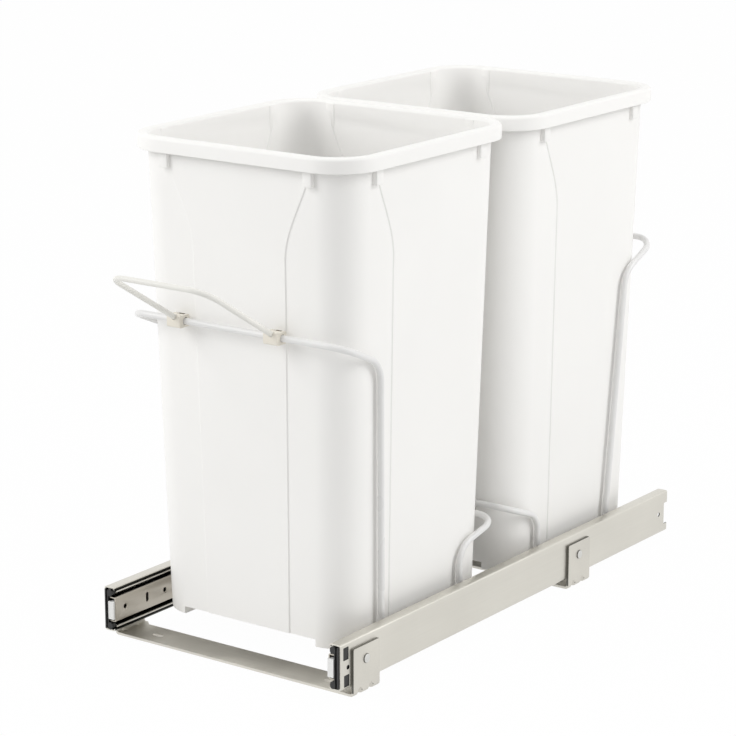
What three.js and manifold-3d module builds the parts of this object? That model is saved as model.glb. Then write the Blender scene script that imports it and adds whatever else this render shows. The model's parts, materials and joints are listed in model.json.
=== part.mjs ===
// Pull-out two-bin waste unit for the floor of a base cabinet.
// Millimetres. +X is right seen from the front, +Y is back into the cabinet and +Z is up.
// It is drawn with x = 0 midway between the slides, y = 0 at the slides' front end and z = 0 at
// the underside of the two cross plates, which is the cabinet's floor. Every piece is then moved
// so that the origin is the middle of the front cross plate's underside.
import * as THREE from "three";
import { mergeVertices } from "three/addons/utils/BufferGeometryUtils.js";
import Module from "manifold-3d";

const wasm = await Module();
wasm.setup();
const { Manifold, Mesh } = wasm;

// ---------------------------------------------------------------- driving dimensions

const seat = 0.02; // left between two faces that touch
const weldDistance = 0.015; // shorter edges left by a cut are closed up
const clearance = 0.3; // left round a piece that is turned, cut or threaded through another

// Telescopic slides, one each side
const slideLength = 559;
const slideHeight = 42;
const slideDepth = 12.7; // across the three nested members
const widthOverSlides = 268;
const slideOuterX = widthOverSlides / 2; // the outer member's back, from the centre
const slideBottomZ = 10;
const stripThickness = 1.2;
const stripBend = 0.5; // inside bend radius of the rolled strip
const lipReach = 1.2; // how far a flange's edge is turned in or out
const flangeReach = 11.6; // from the slide's back to the edge of a flange
const intermediateDepth = 3.2; // from the slide's back to the intermediate member
const intermediateInset = 4.8; // from the slide's top and bottom to the intermediate member
const innerInset = 9.2; // from the slide's top and bottom to the inner member
const innerFlangeDepth = 6.2; // from the slide's back to the inner flanges' edges
const memberShort = 16; // how much shorter the inner members are at the back
const intermediateStart = 3; // from the slide's front end
// Windows and round holes in the outer member's back: y is from its front end, z from its bottom
const upperWindow = { y0: 4.5, y1: 12, z0: 26.6, z1: 38.3 };
const lowerWindow = { y0: 5.5, y1: 13, z0: 1.9, z1: 12.7 };
const stopWindows = [upperWindow, lowerWindow];
const rearNotch = { length: 6, z0: 8, z1: 30 };
const rearStop = { thickness: 1.2, depth: 4.8, z0: 13, z1: 29 };
const backHole = { diameter: 4.4, front: 11.3, frontZ: 19.3, rear: 16.2, rearZ: 20.2 };
// Holes in the inner member's face
const countersink = { y: [14.2, 70.4], wide: 7.4, deep: 0.7 };
const faceSlot = { y: 42.7, z: 26.7, length: 9.2, width: 3.6 };

// Stops and bumpers in the slides' front ends
const stopStrip = { proud: 1.6, length: 13.4, depth: 2.7, inset: 2, bossDepth: 1.35 };
const bumper = { proud: 1.8, length: 9, web: 1, overlap: 2.4 };
const lobe = { high: 6.9, inner: 9.9, outer: 4.1, corner: 2.8 };
const lobeInset = 1.6; // from the slide's top and bottom
const plug = { proud: 2, length: 11, depth: 6.4, low: 12, high: 29, corner: 0.9, lip: 1 };

// Ball cages: depths are from the slide's back, insets from its top and bottom
const cageStrip = 0.5;
const ballsPerRace = 4;
const outerCage = { depth: 2.05, edge: 9.6, inset: 3, ball: 3.2, ballDepth: 6.5, span: [156, 400] };
const innerCage = { depth: 4.9, edge: 10.8, inset: 7.6, ball: 2.8, ballDepth: 8.2, span: [152, 400] };

// Cross plates
const plateThickness = 2.3;
const plateWidth = 38.6;
const plateMiddleWidth = 33.2;
const plateFlareX = slideOuterX - 4; // where the plate reaches its full width
const plateFlareRun = 6;
const uprightHeight = 44;
const uprightCorner = 1.5;
const plateBend = 3.5; // outside radius of the bend under each upright
const plateFronts = [16.3, 367]; // front edge of the front plate and of the rear plate
const dartOffsets = [9.6, 25.9]; // pressed darts, from the plate's front edge
const dartRadius = 2.6;
const dartMetal = 2;
const dartRun = 12.5; // how far the darts may reach in along the plate
const originY = plateFronts[0] + plateMiddleWidth / 2;
const screwSlotInset = 35.5; // from the slide's back
const screwSlot = { x: slideOuterX - screwSlotInset, y: 15.4, length: 12, width: 4 };
const rivet = { y: 18.8, z: 31, shank: 4.4, hole: 5, head: 9, headHeight: 1.8, closed: 0.4 };

// Bins
const binCentresY = [153.9, 418];
const rimHalfX = slideOuterX - 7;
const rimHalfY = 130.5;
const rimTopZ = 468.5;
const skirtHeight = 13.5;
const skirtProud = 8.5; // from the body's side to the skirt's outside
const binWall = 2.2;
const binDraft = 0.0235; // each side leans in by this much of its height
const binCorner = 34.5; // corner radius of the body
const panelStep = 1; // how far each side's panel stands out of the corners
const binFootZ = 25;
const binEdgeZ = 32.3; // lower edge of the sides between the feet
const binFloorZ = 35; // underside of the floor
const footInset = 33.5; // length of a foot along each side
const tabCentre = 79; // from the middle of each side
const tabWidth = 9.5;
const tabReach = 4.6;
const tabBottomZ = 441;
// Height and half-width of the raised panel on every side
const panelProfile = [
  [binFootZ, 46], [314, 50], [386, 52.3], [402, 57], [420, 65.3], [438, 75.2], [455, 76],
];

// Coated wire frames
const wireDiameter = 6;
const weldGap = 0.05; // left between round wires that are welded or stood on
const railZ = binEdgeZ - 1.5 * wireDiameter - 2 * weldGap;
const railInset = 21.1; // from the slide's back to the rails beside it
const railX = slideOuterX - railInset;
const rodInset = 39; // cross rods, from the middle of each bin
const tabCentres = [151.3, 407.7];
const tabPlate = { length: 70, thickness: 2, height: 20, ledge: 5, screwInset: 13 };
const screw = { shank: 4, hole: 4.6, head: 8, headHeight: 2.2, reach: 5.5, z: 31 };
// Each frame is one closed loop: [x, y, z, bend radius] down its right half
const frontLoop = [
  [railX + 7.6, 26.5, 307, 20], [railX + 5.6, 80.8, 283.7, 26], [railX, 89.6, railZ, 12],
  [railX, 213, railZ, 12], [railX + 0.7, 212, 80, 22], [railX + 1.7, 271.8, 93.5, 20],
];
const rearLoop = [
  [railX + 1.7, 299.6, 93.5, 20], [railX + 0.7, 345.5, 76, 22], [railX, 346, railZ, 12],
  [railX, 469.4, railZ, 12], [railX + 5.6, 491, 290, 26], [railX + 6.7, 544, 314, 20],
];

// Handle and its clips, which turn on the front crossing of the front frame
const handleWire = 5;
const handleX = [-62, 46];
const handleReach = 110;
const handleRise = 31.2; // degrees above level
const handleCorner = 20;
const clip = { length: 15, height: 11, back: 5.6, front: 8, bore: 6.8, corner: 1.8 };
const armRoot = 5.2; // from the crossing's middle to the end of each arm
const clipSlot = { x0: -2.5, x1: 4.5, y0: 1.4, y1: 4.4, floor: -1 };

// ---------------------------------------------------------------- colours

const finishes = {
  zinc: { color: 0xb9b6ae, roughness: 0.42, metalness: 1 },
  ball: { color: 0xd0d0d0, roughness: 0.2, metalness: 1 },
  blackPlastic: { color: 0x161616, roughness: 0.5, metalness: 0 },
  whitePlastic: { color: 0xece9e0, roughness: 0.42, metalness: 0 },
  coatedWire: { color: 0xe6e4e2, roughness: 0.35, metalness: 0 },
  ivoryWire: { color: 0xe2ddc8, roughness: 0.38, metalness: 0 },
  beigePlastic: { color: 0xd9cfb8, roughness: 0.45, metalness: 0 },
};

// ---------------------------------------------------------------- solids

const toSolid = (geometry) => {
  geometry.deleteAttribute("normal");
  geometry.deleteAttribute("uv");
  const merged = mergeVertices(geometry, 1e-4);
  return new Manifold(new Mesh({
    numProp: 3,
    vertProperties: Float32Array.from(merged.attributes.position.array),
    triVerts: Uint32Array.from(merged.index.array),
  }));
};

const toNode = (name, finish, solid) => {
  const { vertProperties, triVerts } = solid.simplify(weldDistance).getMesh();
  const geometry = new THREE.BufferGeometry();
  geometry.setAttribute("position", new THREE.BufferAttribute(Float32Array.from(vertProperties), 3));
  geometry.setIndex(Array.from(triVerts));
  geometry.computeVertexNormals();
  geometry.translate(0, -originY, 0);
  const mesh = new THREE.Mesh(geometry, new THREE.MeshStandardMaterial(finishes[finish]));
  mesh.name = name;
  return mesh;
};

const union = (...solids) => solids.reduce((sum, next) => sum.add(next));

const without = (solid, ...cutters) => cutters.reduce((rest, next) => rest.subtract(next), solid);

const box = (x0, x1, y0, y1, z0, z1) => toSolid(
  new THREE.BoxGeometry(x1 - x0, y1 - y0, z1 - z0)
    .translate((x0 + x1) / 2, (y0 + y1) / 2, (z0 + z1) / 2));

// A cylinder along X, from x0 to x1
const rodX = (diameter, x0, x1, y, z, facets = 10) => toSolid(
  new THREE.CylinderGeometry(diameter / 2, diameter / 2, x1 - x0, facets)
    .rotateZ(Math.PI / 2).translate((x0 + x1) / 2, y, z));

// A shape drawn in X and Z, extruded from y0 to y1
const prismY = (shape, y0, y1) => toSolid(
  new THREE.ExtrudeGeometry(shape, { depth: y1 - y0, bevelEnabled: false, curveSegments: 2 })
    .rotateX(Math.PI / 2).translate(0, y1, 0));

// A shape drawn in X and Y, extruded from z0 to z1
const prismZ = (shape, z0, z1) => toSolid(
  new THREE.ExtrudeGeometry(shape, { depth: z1 - z0, bevelEnabled: false, curveSegments: 2 })
    .translate(0, 0, z0));

// A shape drawn in Y and Z, extruded from x0 to x1
const prismX = (shape, x0, x1) => toSolid(
  new THREE.ExtrudeGeometry(shape, { depth: x1 - x0, bevelEnabled: false, curveSegments: 2 })
    .rotateY(Math.PI / 2).rotateX(Math.PI / 2).translate(x0, 0, 0));

const roundedRect = (u0, u1, v0, v1, radius) => {
  const shape = new THREE.Shape();
  shape.moveTo(u0 + radius, v0);
  shape.lineTo(u1 - radius, v0);
  shape.absarc(u1 - radius, v0 + radius, radius, -Math.PI / 2, 0, false);
  shape.lineTo(u1, v1 - radius);
  shape.absarc(u1 - radius, v1 - radius, radius, 0, Math.PI / 2, false);
  shape.lineTo(u0 + radius, v1);
  shape.absarc(u0 + radius, v1 - radius, radius, Math.PI / 2, Math.PI, false);
  shape.lineTo(u0, v0 + radius);
  shape.absarc(u0 + radius, v0 + radius, radius, Math.PI, 1.5 * Math.PI, false);
  return shape;
};

// A path through corner points, each rounded by its own bend radius
const bentPath = (corners, steps) => {
  const points = [];
  corners.forEach(({ at, radius }, i) => {
    if (!radius) {
      points.push(at.clone());
      return;
    }
    const before = corners[(i - 1 + corners.length) % corners.length].at;
    const after = corners[(i + 1) % corners.length].at;
    const back = before.clone().sub(at).normalize();
    const ahead = after.clone().sub(at).normalize();
    const half = back.angleTo(ahead) / 2;
    const centre = at.clone().addScaledVector(
      back.clone().add(ahead).normalize(), radius / Math.sin(half));
    const from = at.clone().addScaledVector(back, radius / Math.tan(half)).sub(centre);
    const to = at.clone().addScaledVector(ahead, radius / Math.tan(half)).sub(centre);
    const sweep = from.angleTo(to);
    for (let k = 0; k <= steps; k++) {
      const t = k / steps;
      const arm = from.clone().multiplyScalar(Math.sin((1 - t) * sweep))
        .addScaledVector(to, Math.sin(t * sweep)).divideScalar(Math.sin(sweep));
      points.push(centre.clone().add(arm));
    }
  });
  return points;
};

// The outline of a strip bent along corners given as [x, z]
const stripShape = (corners, thickness, insideRadius) => {
  const flat = corners.map(([x, z], i) => ({
    at: new THREE.Vector3(x, z, 0),
    radius: i === 0 || i === corners.length - 1 ? 0 : insideRadius + thickness / 2,
  }));
  const middle = bentPath(flat, 3);
  const edge = (side) => middle.map((point, i) => {
    const before = middle[Math.max(i - 1, 0)];
    const after = middle[Math.min(i + 1, middle.length - 1)];
    const inward = point.clone().sub(before).normalize();
    const outward = after.clone().sub(point).normalize();
    if (i === 0) inward.copy(outward);
    if (i === middle.length - 1) outward.copy(inward);
    const normal = new THREE.Vector3(-inward.y - outward.y, inward.x + outward.x, 0).normalize();
    const stretch = 1 / Math.cos(inward.angleTo(outward) / 2);
    return point.clone().addScaledVector(normal, side * stretch * thickness / 2);
  });
  const outline = [...edge(1), ...edge(-1).reverse()];
  return new THREE.Shape(outline.map(({ x, y }) => new THREE.Vector2(x, y)));
};

// A round wire swept along points: rings square to the path, turned along it without twist
const sweptWire = (points, diameter, facets, closed) => {
  const count = points.length;
  const beside = (i) => points[closed ? (i + count) % count : Math.min(Math.max(i, 0), count - 1)];
  const tangents = points.map((point, i) => {
    const arriving = point.clone().sub(beside(i - 1)).normalize();
    const leaving = beside(i + 1).clone().sub(point).normalize();
    return arriving.add(leaving).normalize();
  });
  const normal = new THREE.Vector3(0, 0, 1).cross(tangents[0]).normalize();
  const vertices = [];
  points.forEach((point, i) => {
    if (i > 0) normal.addScaledVector(tangents[i], -normal.dot(tangents[i])).normalize();
    const binormal = tangents[i].clone().cross(normal);
    for (let k = 0; k < facets; k++) {
      const angle = (k + 0.5) / facets * 2 * Math.PI;
      vertices.push(point.clone()
        .addScaledVector(normal, Math.cos(angle) * diameter / 2)
        .addScaledVector(binormal, Math.sin(angle) * diameter / 2));
    }
  });
  const faces = [];
  for (let i = 0; i < (closed ? count : count - 1); i++) {
    const here = i * facets;
    const there = ((i + 1) % count) * facets;
    for (let k = 0; k < facets; k++) {
      const next = (k + 1) % facets;
      faces.push(here + k, here + next, there + next, here + k, there + next, there + k);
    }
  }
  if (!closed) {
    for (let k = 1; k < facets - 1; k++) {
      faces.push(0, k + 1, k);
      const end = (count - 1) * facets;
      faces.push(end, end + k, end + k + 1);
    }
  }
  const geometry = new THREE.BufferGeometry().setFromPoints(vertices);
  geometry.setIndex(faces);
  return toSolid(geometry);
};

// y of every screw through the inner members, two to a mounting tab
const tabScrewsY = () => {
  const out = tabPlate.length / 2 - tabPlate.screwInset;
  return tabCentres.flatMap((y) => [y - out, y + out]);
};

// Builds a right-hand piece at its own place and mirrors it for the left
const sides = { left: -1, right: 1 };
const onSide = (side, solid) => (sides[side] < 0 ? solid.mirror([1, 0, 0]) : solid);
// x of a depth measured from a right-hand slide's back
const depthX = (depth) => slideOuterX - depth;

// ---------------------------------------------------------------- slides

const slideTopZ = slideBottomZ + slideHeight;

// A C-shaped member: back at one depth, flanges to another, edges turned by a lip
const channel = (backDepth, edgeDepth, inset, thickness, lip, y0, y1) => {
  const half = thickness / 2;
  const towards = Math.sign(edgeDepth - backDepth);
  const back = depthX(backDepth + towards * half);
  const edge = depthX(edgeDepth - (lip ? towards * half : 0));
  const low = slideBottomZ + inset + half;
  const high = slideTopZ - inset - half;
  const turned = (z, away) => (lip ? [[edge, z + away * (half + Math.abs(lip))]] : []);
  const corners = [
    ...turned(low, Math.sign(lip)), [edge, low], [back, low], [back, high], [edge, high],
    ...turned(high, -Math.sign(lip)),
  ];
  return prismY(stripShape(corners, thickness, thickness < 1 ? 0.2 : stripBend), y0, y1);
};

// A window through the outer member's back
const webWindow = ({ y0, y1, z0, z1 }) => prismX(
  roundedRect(y0, y1, slideBottomZ + z0, slideBottomZ + z1, 0.8),
  depthX(stripThickness) - 0.5, slideOuterX + 1);

const outerMember = () => {
  const body = channel(0, flangeReach, 0, stripThickness, lipReach, 0, slideLength);
  const hole = (diameter, y, z) => rodX(
    diameter, depthX(stripThickness) - 0.5, slideOuterX + 1, y, z, 8);
  const notchFront = slideLength - rearNotch.length;
  const notch = webWindow({ ...rearNotch, y0: notchFront, y1: slideLength + 1 });
  // The rear stop, bent in at the notch's front edge
  const stop = box(depthX(rearStop.depth), depthX(stripThickness / 2),
    notchFront - rearStop.thickness, notchFront,
    slideBottomZ + rearStop.z0, slideBottomZ + rearStop.z1);
  return union(without(body, ...stopWindows.map(webWindow), notch,
    hole(backHole.diameter, backHole.front, slideBottomZ + backHole.frontZ),
    hole(backHole.diameter, slideLength - backHole.rear, slideBottomZ + backHole.rearZ),
    ...plateFronts.map((front) => hole(rivet.hole, front + rivet.y, rivet.z))), stop);
};

const intermediateMember = () => channel(
  intermediateDepth, flangeReach, intermediateInset, stripThickness, -lipReach,
  intermediateStart, slideLength - memberShort);

const innerMember = () => {
  const body = channel(slideDepth, innerFlangeDepth, innerInset, stripThickness, 0,
    0, slideLength - memberShort);
  const face = depthX(slideDepth);
  const through = [face - 1, face + stripThickness + 0.5];
  const holes = [...countersink.y, ...tabScrewsY()].map((y) => rodX(
    screw.hole, ...through, y, screw.z, 8));
  const sinks = countersink.y.map((y) => toSolid(
    new THREE.CylinderGeometry(countersink.wide / 2, screw.hole / 2, countersink.deep, 8)
      .rotateZ(Math.PI / 2).translate(face + countersink.deep / 2 - seat, y, screw.z)));
  const slot = prismX(roundedRect(faceSlot.y, faceSlot.y + faceSlot.width,
    faceSlot.z, faceSlot.z + faceSlot.length, faceSlot.width / 2 - 0.1), ...through);
  return without(body, ...holes, ...sinks, slot);
};

const ballCage = ({ depth, edge, inset, ball, ballDepth, span: [y0, y1] }) => {
  const body = channel(depth, edge, inset - cageStrip / 2, cageStrip, 0, y0, y1);
  const pitch = (y1 - y0) / ballsPerRace;
  const balls = [];
  for (const z of [slideBottomZ + inset, slideTopZ - inset]) {
    for (let i = 0; i < ballsPerRace; i++) {
      balls.push(toSolid(new THREE.SphereGeometry(ball / 2, 6, 4)
        .translate(depthX(ballDepth), y0 + (i + 0.5) * pitch, z)));
    }
  }
  return union(body, ...balls);
};

// Black stop in the outer member's mouth: a back strip with a boss in each window
const frontStop = () => {
  const bosses = stopWindows.map(({ y0, y1, z0, z1 }) => prismX(
    roundedRect(y0 + clearance, y1 - clearance,
      slideBottomZ + z0 + clearance, slideBottomZ + z1 - clearance, 0.6),
    depthX(stopStrip.depth - 1), depthX(stripThickness) + stopStrip.bossDepth - 0.4));
  const strip = box(depthX(stopStrip.depth), depthX(stripThickness + seat),
    -stopStrip.proud, stopStrip.length,
    slideBottomZ + stopStrip.inset, slideTopZ - stopStrip.inset);
  return union(strip, ...bosses);
};

// Black bumper on the intermediate member's front end, a round lobe over each flange's end
const intermediateBumper = () => {
  const web = depthX(intermediateDepth + stripThickness + seat);
  const front = intermediateStart - seat;
  const roundLobe = (z0) => prismY(
    roundedRect(depthX(lobe.inner), depthX(lobe.outer), z0, z0 + lobe.high, lobe.corner),
    -bumper.proud, front);
  const edge = innerInset - bumper.overlap;
  return union(
    box(web - bumper.web, web, -bumper.proud, bumper.length,
      slideBottomZ + edge, slideTopZ - edge),
    roundLobe(slideBottomZ + lobeInset), roundLobe(slideTopZ - lobeInset - lobe.high));
};

// White plug in the front end of the inner member, with a lip over its edge
const endPiece = () => {
  const face = depthX(slideDepth);
  const low = slideBottomZ + plug.low;
  const high = slideBottomZ + plug.high;
  return union(
    prismY(roundedRect(face + stripThickness + seat, depthX(plug.depth), low, high, plug.corner),
      -plug.proud, plug.length),
    box(face + stripThickness / 2, depthX(plug.depth) + plug.lip / 2,
      -plug.proud - plug.lip / 4, -clearance, low, high));
};

// ---------------------------------------------------------------- cross plates

const crossPlate = (front) => {
  const half = plateThickness / 2;
  const upright = slideOuterX + half;
  const strip = prismY(stripShape(
    [[-upright, uprightHeight], [-upright, half], [upright, half], [upright, uprightHeight]],
    plateThickness, plateBend - plateThickness), front - 1, front + plateWidth + 1);
  // A bar at 45 degrees across the bend, along the dart's slope
  const bar = (side, y, radius) => toSolid(
    new THREE.CylinderGeometry(radius, radius, 2 * dartRun, 8)
      .rotateX(Math.PI / 2).rotateY(side * Math.PI / 4)
      .translate(side * (upright + half - 0.75), y, 0.75));
  const darts = [];
  const grooves = [];
  for (const side of [-1, 1]) {
    for (const offset of dartOffsets) {
      const outermost = side * (slideOuterX + plateThickness / 4);
      const innermost = side * (slideOuterX - dartRun);
      const inside = box(Math.min(innermost, outermost), Math.max(innermost, outermost),
        front + 1, front + plateWidth - 1, plateThickness * 0.75, slideBottomZ - clearance);
      darts.push(bar(side, front + offset, dartRadius + dartMetal).intersect(inside));
      grooves.push(bar(side, front + offset, dartRadius));
    }
  }
  const waist = new THREE.Shape();
  const flareEnd = plateFlareX - plateFlareRun;
  waist.moveTo(-plateFlareX, front + plateWidth + 2);
  waist.lineTo(-plateFlareX, front + plateWidth);
  waist.lineTo(-flareEnd, front + plateMiddleWidth);
  waist.lineTo(flareEnd, front + plateMiddleWidth);
  waist.lineTo(plateFlareX, front + plateWidth);
  waist.lineTo(plateFlareX, front + plateWidth + 2);
  const cutters = [prismZ(waist, -1, plateThickness + 1)];
  for (const side of [-1, 1]) {
    const x = side * screwSlot.x;
    cutters.push(prismZ(roundedRect(x - screwSlot.length / 2, x + screwSlot.length / 2,
      front + screwSlot.y - screwSlot.width / 2, front + screwSlot.y + screwSlot.width / 2,
      screwSlot.width / 2 - 0.05), -1, plateThickness + 1));
    cutters.push(rodX(rivet.hole, side * upright - 3, side * upright + 3,
      front + rivet.y, rivet.z, 8));
  }
  // Trims the strip to its width and rounds the corners of both uprights
  const outline = prismX(
    roundedRect(front, front + plateWidth, -uprightHeight, uprightHeight, uprightCorner),
    -slideOuterX - 10, slideOuterX + 10);
  return without(union(strip, ...darts), ...grooves, ...cutters).intersect(outline);
};

const rivetBody = (front) => {
  const y = front + rivet.y;
  const face = slideOuterX + plateThickness + seat;
  const inside = depthX(stripThickness + seat);
  const dome = toSolid(new THREE.LatheGeometry([
    new THREE.Vector2(0, 0), new THREE.Vector2(rivet.head / 2, 0),
    new THREE.Vector2(rivet.head / 2 - 0.4, rivet.headHeight * 0.55),
    new THREE.Vector2(rivet.head / 4, rivet.headHeight * 0.93),
    new THREE.Vector2(0, rivet.headHeight),
  ], 10).rotateZ(-Math.PI / 2).translate(face, y, rivet.z));
  return union(dome,
    rodX(rivet.shank, inside - rivet.closed / 2, face + 0.5, y, rivet.z, 8),
    rodX(rivet.head - 1.5, inside - rivet.closed, inside, y, rivet.z, 8));
};

// ---------------------------------------------------------------- wire frames

const mirrorLoop = (half) => {
  const corner = (x, [, y, z, radius]) => ({ at: new THREE.Vector3(x, y, z), radius });
  const right = half.map((entry) => corner(entry[0], entry));
  const left = half.map((entry) => corner(-entry[0], entry)).reverse();
  return [...right, ...left];
};

const wireFrame = (half) => sweptWire(
  bentPath(mirrorLoop(half), 3), wireDiameter, 8, true);

const crossRod = (y) => rodX(wireDiameter, -railX - 3, railX + 3, y,
  railZ + wireDiameter + weldGap, 10);


// Angle piece: screwed flat to the inner member, with the frame's rail on its lower leg
const mountingTab = (y) => {
  const { length, thickness, height, ledge } = tabPlate;
  const top = railZ - wireDiameter / 2 - weldGap;
  const x = depthX(slideDepth) - seat - thickness / 2;
  const strip = stripShape([[x, top - thickness + height], [x, top - thickness / 2],
    [railX - ledge, top - thickness / 2]], thickness, 0.6);
  const holes = tabScrewsY().map((screwY) => rodX(
    screw.hole, x - thickness, x + thickness, screwY, screw.z, 8));
  return without(prismY(strip, y - length / 2, y + length / 2), ...holes);
};

const tabScrew = (y) => {
  const face = depthX(slideDepth) - 2 * seat - tabPlate.thickness;
  return union(
    rodX(screw.head, face - screw.headHeight, face, y, screw.z),
    rodX(screw.shank, face - 0.5, face + tabPlate.thickness + screw.reach, y, screw.z, 8));
};

// ---------------------------------------------------------------- handle

const crossing = { y: frontLoop[0][1], z: frontLoop[0][2] };
const rise = THREE.MathUtils.degToRad(handleRise);
const forward = new THREE.Vector3(0, -Math.cos(rise), Math.sin(rise));

const handleLoop = () => {
  const at = (x, along) => new THREE.Vector3(x, crossing.y, crossing.z)
    .addScaledVector(forward, along);
  return sweptWire(bentPath([
    { at: at(handleX[1], armRoot) },
    { at: at(handleX[1], handleReach), radius: handleCorner },
    { at: at(handleX[0], handleReach), radius: handleCorner },
    { at: at(handleX[0], armRoot) },
  ], 6), handleWire, 8, false);
};

// A level block on the wire, with a socket for the arm and a slot in its top
const handleClip = (x) => {
  const { length, height, back, front, bore, corner } = clip;
  const body = prismX(roundedRect(-front, back, -height / 2, height / 2, corner),
    -length / 2, length / 2);
  const hole = rodX(bore, -length, length, 0, 0, 16);
  const reach = 2 * front;
  const socket = toSolid(new THREE.CylinderGeometry(
    handleWire / 2 + clearance, handleWire / 2 + clearance, reach, 16)
    .translate(0, -reach / 2 - armRoot + seat, 0).rotateX(-rise));
  const slot = box(clipSlot.x0, clipSlot.x1, clipSlot.y0, clipSlot.y1, clipSlot.floor, height);
  return without(body, hole, socket, slot).translate([x, crossing.y, crossing.z]);
};

// ---------------------------------------------------------------- bins

const skirtZ = rimTopZ - skirtHeight;
const cornerSteps = 5; // facets round each corner of a bin

// Half-width of the raised panel at a height
const panelHalf = (z) => {
  const i = panelProfile.findIndex(([height]) => height >= z);
  if (i <= 0) return panelProfile[i === 0 ? 0 : panelProfile.length - 1][1];
  const [z0, w0] = panelProfile[i - 1];
  const [z1, w1] = panelProfile[i];
  return w0 + (w1 - w0) * (z - z0) / (z1 - z0);
};

// One ring round a bin: every side has a panel that stands out by step, corners are arcs
const binRing = (z, inset, step, centreY) => {
  const lean = binDraft * (skirtZ - Math.min(z, skirtZ));
  const halfX = rimHalfX - skirtProud - lean - inset;
  const halfY = rimHalfY - skirtProud - lean - inset;
  const radius = binCorner - inset;
  const panel = panelHalf(z);
  const points = [];
  const quarter = (signX, signY) => {
    const list = [[halfX, panel], [halfX - step, panel + 1]];
    for (let k = 0; k <= cornerSteps; k++) {
      const angle = k / cornerSteps * Math.PI / 2;
      list.push([
        halfX - radius + (radius - step) * Math.cos(angle),
        halfY - radius + (radius - step) * Math.sin(angle),
      ]);
    }
    list.push([panel + 1, halfY - step], [panel, halfY]);
    return list.map(([x, y]) => new THREE.Vector3(signX * x, centreY + signY * y, z));
  };
  points.push(...quarter(1, 1));
  points.push(...quarter(-1, 1).reverse());
  points.push(...quarter(-1, -1));
  points.push(...quarter(1, -1).reverse());
  return points;
};

const binShell = (centreY) => {
  const levels = panelProfile.map(([z]) => z).filter((z) => z > binFootZ && z < skirtZ);
  const wall = (z, inset = 0) => [z, inset, panelStep];
  const rim = (z, proud) => [z, -proud, 0];
  const under = rimTopZ - binWall - 0.3;
  const profile = [
    wall(binFootZ, 1.5), wall(binFootZ + 1.5),
    ...levels.map((z) => wall(z)),
    wall(skirtZ), [under, 0, 0],
    rim(under, skirtProud - binWall), rim(skirtZ, skirtProud - binWall),
    rim(skirtZ, skirtProud), rim(rimTopZ - 2.5, skirtProud), rim(rimTopZ, skirtProud - 2.5),
    rim(rimTopZ, 0.5), rim(rimTopZ - 2.5, -binWall),
    wall(skirtZ, binWall),
    ...[...levels].reverse().map((z) => wall(z, binWall)),
    wall(binFloorZ + binWall + 7, binWall), wall(binFloorZ + binWall + 2, binWall + 2),
    wall(binFloorZ + binWall, binWall + 7),
  ];
  const rings = profile.map(([z, inset, step]) => binRing(z, inset, step, centreY));
  const vertices = rings.flat();
  const count = rings[0].length;
  const faces = [];
  for (let i = 1; i < rings.length; i++) {
    for (let k = 0; k < count; k++) {
      const here = (i - 1) * count;
      const next = (k + 1) % count;
      const there = i * count;
      faces.push(here + k, here + next, there + next, here + k, there + next, there + k);
    }
  }
  const cap = (ring, z, flip) => {
    const centre = vertices.push(new THREE.Vector3(0, centreY, z)) - 1;
    for (let k = 0; k < count; k++) {
      const a = ring * count + k;
      const b = ring * count + (k + 1) % count;
      faces.push(centre, flip ? b : a, flip ? a : b);
    }
  };
  cap(0, profile[0][0], true);
  cap(rings.length - 1, profile[profile.length - 1][0], false);
  const geometry = new THREE.BufferGeometry().setFromPoints(vertices);
  geometry.setIndex(faces);
  return toSolid(geometry);
};

// Small rib under the skirt, drawn on a side that faces +X at x = 0
const binTab = () => {
  const side = new THREE.Shape();
  side.moveTo(-1.8, tabBottomZ + 1);
  side.lineTo(tabReach - 1.5, tabBottomZ);
  side.lineTo(tabReach, tabBottomZ + 2);
  side.lineTo(tabReach, rimTopZ - 1.5);
  side.lineTo(-1.8, rimTopZ - 1.5);
  return prismY(side, -tabWidth / 2, tabWidth / 2);
};

const bin = (centreY) => {
  const bodyX = rimHalfX - skirtProud - panelStep;
  const bodyY = rimHalfY - skirtProud - panelStep;
  const tabs = [];
  for (const turn of [0, 90, 180, 270]) {
    const out = turn % 180 ? bodyY : bodyX;
    for (const along of [-tabCentre, tabCentre]) {
      tabs.push(binTab().translate([out, along, 0]).rotate([0, 0, turn])
        .translate([0, centreY, 0]));
    }
  }
  const footX = rimHalfX - skirtProud - binDraft * (skirtZ - binFootZ);
  const footY = rimHalfY - skirtProud - binDraft * (skirtZ - binFootZ);
  const clearX = footX - footInset;
  const clearY = footY - footInset;
  const low = binFootZ - 1;
  const gaps = (inset, top) => [
    box(-clearX, clearX, centreY - footY - 5 + inset, centreY + footY + 5 - inset, low, top),
    box(-footX - 5 + inset, footX + 5 - inset, centreY - clearY, centreY + clearY, low, top),
  ];
  return without(union(binShell(centreY), ...tabs),
    ...gaps(0, binEdgeZ), ...gaps(5 + binWall + 1.5, binFloorZ));
};

// ---------------------------------------------------------------- assembly

const unit = new THREE.Group();
unit.name = "pull_out_trash_unit";
const add = (name, finish, solid) => unit.add(toNode(name, finish, solid));

plateFronts.forEach((front, i) => {
  const place = ["front", "rear"][i];
  add(`cross_plate_${place}`, "zinc", crossPlate(front));
  for (const side of Object.keys(sides)) {
    add(`rivet_${place}_${side}`, "zinc", onSide(side, rivetBody(front)));
  }
});

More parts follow.
